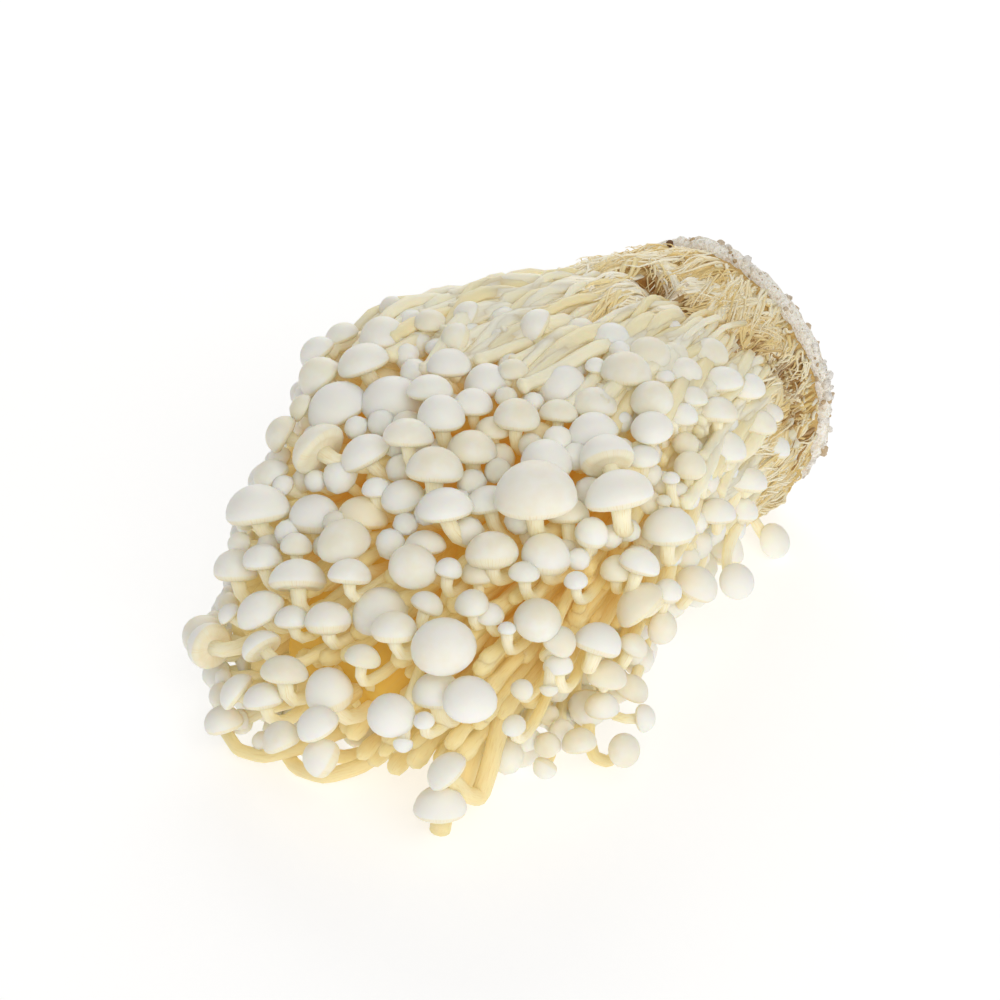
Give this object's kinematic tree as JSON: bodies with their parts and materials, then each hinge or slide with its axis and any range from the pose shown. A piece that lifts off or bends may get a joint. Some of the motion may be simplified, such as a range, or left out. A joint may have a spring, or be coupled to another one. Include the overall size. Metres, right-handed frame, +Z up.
{
  "type": "enoki mushroom bunch",
  "caption": "Dense bunch of enoki mushrooms lying on its side, with thin stems and small domed caps, a matted fibrous root and a crust of growing medium.",
  "frame": {"origin": "middle of the flat spot under the root mass, on the surface that the bunch lies on", "axes": "+X from the root to the caps, +Z up, +Y towards the side that the picture shows"},
  "size_m": [0.154, 0.1151, 0.0688],
  "materials": {
    "enoki_flesh": "satin",
    "matted_fibres": "matte",
    "growing_medium": "rough"
  },
  "bodies": {
    "root": {"mushrooms": "enoki_flesh", "root_mass": "matted_fibres", "substrate_crust": "growing_medium"}
  },
  "joints": []
}
